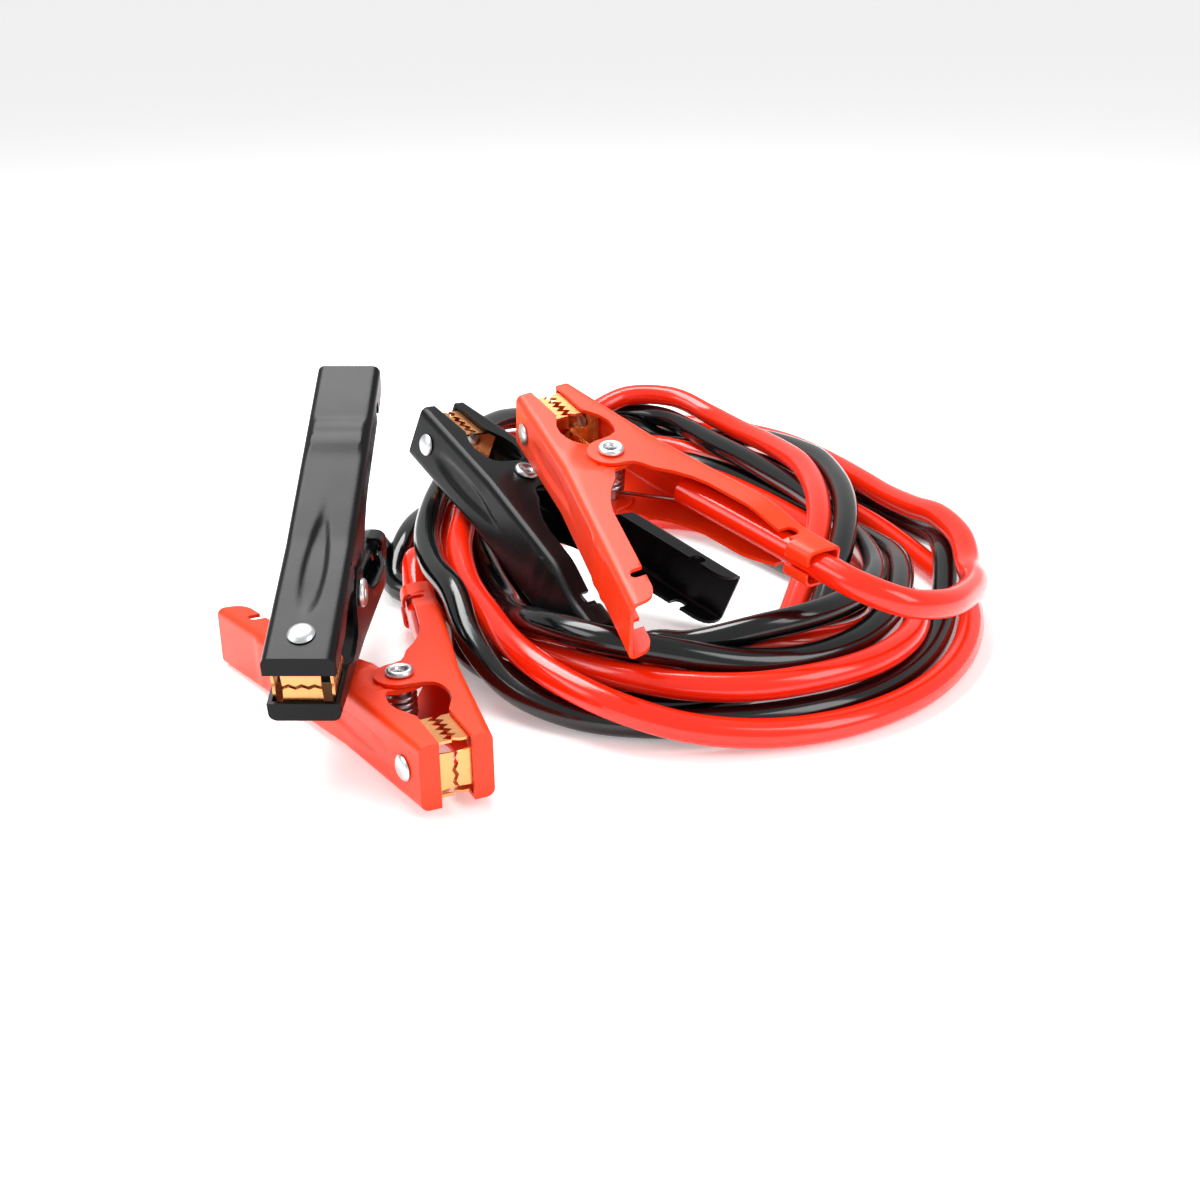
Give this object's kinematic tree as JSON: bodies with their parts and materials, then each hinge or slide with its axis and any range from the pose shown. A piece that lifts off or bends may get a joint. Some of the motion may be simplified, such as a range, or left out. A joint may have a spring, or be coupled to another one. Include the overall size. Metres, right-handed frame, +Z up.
{
  "type": "car jumper cable set",
  "caption": "Car jumper leads, one red and one black, lying in a loose coil with a spring clamp with copper jaws on each end.",
  "frame": {"origin": "on the floor under the middle of the box round the four clamps", "axes": "+Z up; +X to the right and +Y away from the viewer of the reference picture, whose camera looks along +Y and down"},
  "size_m": [0.349, 0.4726, 0.1271],
  "materials": {
    "red_coating": "smooth red-orange plastic coating on pressed steel, satin",
    "black_coating": "smooth black plastic coating on pressed steel, satin",
    "copper_jaw": "copper plated steel sheet, bright",
    "zinc_rivet": "bright zinc plated steel",
    "spring_steel": "zinc plated spring wire",
    "red_pvc": "glossy extruded PVC",
    "black_pvc": "glossy extruded PVC"
  },
  "bodies": {
    "root": {"front_red_cable_arm": "red_coating", "front_red_cable_jaw": "copper_jaw", "front_red_pivot_rivet": "zinc_rivet", "front_red_spring": "spring_steel", "front_red_cable_jaw_rivet": "zinc_rivet", "left_black_cable_arm": "black_coating", "left_black_cable_jaw": "copper_jaw", "left_black_pivot_rivet": "zinc_rivet", "left_black_spring": "spring_steel", "left_black_cable_jaw_rivet": "zinc_rivet", "rear_black_cable_arm": "black_coating", "rear_black_cable_jaw": "copper_jaw", "rear_black_pivot_rivet": "zinc_rivet", "rear_black_spring": "spring_steel", "rear_black_cable_jaw_rivet": "zinc_rivet", "top_red_cable_arm": "red_coating", "top_red_cable_jaw": "copper_jaw", "top_red_pivot_rivet": "zinc_rivet", "top_red_spring": "spring_steel", "top_red_cable_jaw_rivet": "zinc_rivet", "red_cable": "red_pvc", "black_cable": "black_pvc"},
    "front_red_handle": {"front_red_free_arm": "red_coating", "front_red_free_jaw": "copper_jaw", "front_red_free_jaw_rivet": "zinc_rivet"},
    "left_black_handle": {"left_black_free_arm": "black_coating", "left_black_free_jaw": "copper_jaw", "left_black_free_jaw_rivet": "zinc_rivet"},
    "rear_black_handle": {"rear_black_free_arm": "black_coating", "rear_black_free_jaw": "copper_jaw", "rear_black_free_jaw_rivet": "zinc_rivet"},
    "top_red_handle": {"top_red_free_arm": "red_coating", "top_red_free_jaw": "copper_jaw", "top_red_free_jaw_rivet": "zinc_rivet"}
  },
  "joints": [
    {"name": "front_red_squeeze", "type": "hinge", "parent": "root", "child": "front_red_handle", "pos_m": [-0.04435, -0.06399, 0.0161], "axis": [0.0105, -0.0216, -0.9997], "range_deg": [0, 30], "stiffness_Nm_per_rad": 0.8, "springref_deg": -20.05},
    {"name": "left_black_squeeze", "type": "hinge", "parent": "root", "child": "left_black_handle", "pos_m": [-0.07385, -0.04959, 0.0585], "axis": [-1, 0, 0], "range_deg": [0, 30], "stiffness_Nm_per_rad": 0.8, "springref_deg": -20.05},
    {"name": "rear_black_squeeze", "type": "hinge", "parent": "root", "child": "rear_black_handle", "pos_m": [-0.00385, 0.07241, 0.0547], "axis": [-0.3226, 0.1462, -0.9352], "range_deg": [0, 26], "stiffness_Nm_per_rad": 0.8, "springref_deg": -20.05},
    {"name": "top_red_squeeze", "type": "hinge", "parent": "root", "child": "top_red_handle", "pos_m": [0.03965, 0.03141, 0.0789], "axis": [0.0215, -0.2258, 0.9739], "range_deg": [0, 30], "stiffness_Nm_per_rad": 0.8, "springref_deg": -20.05}
  ]
}
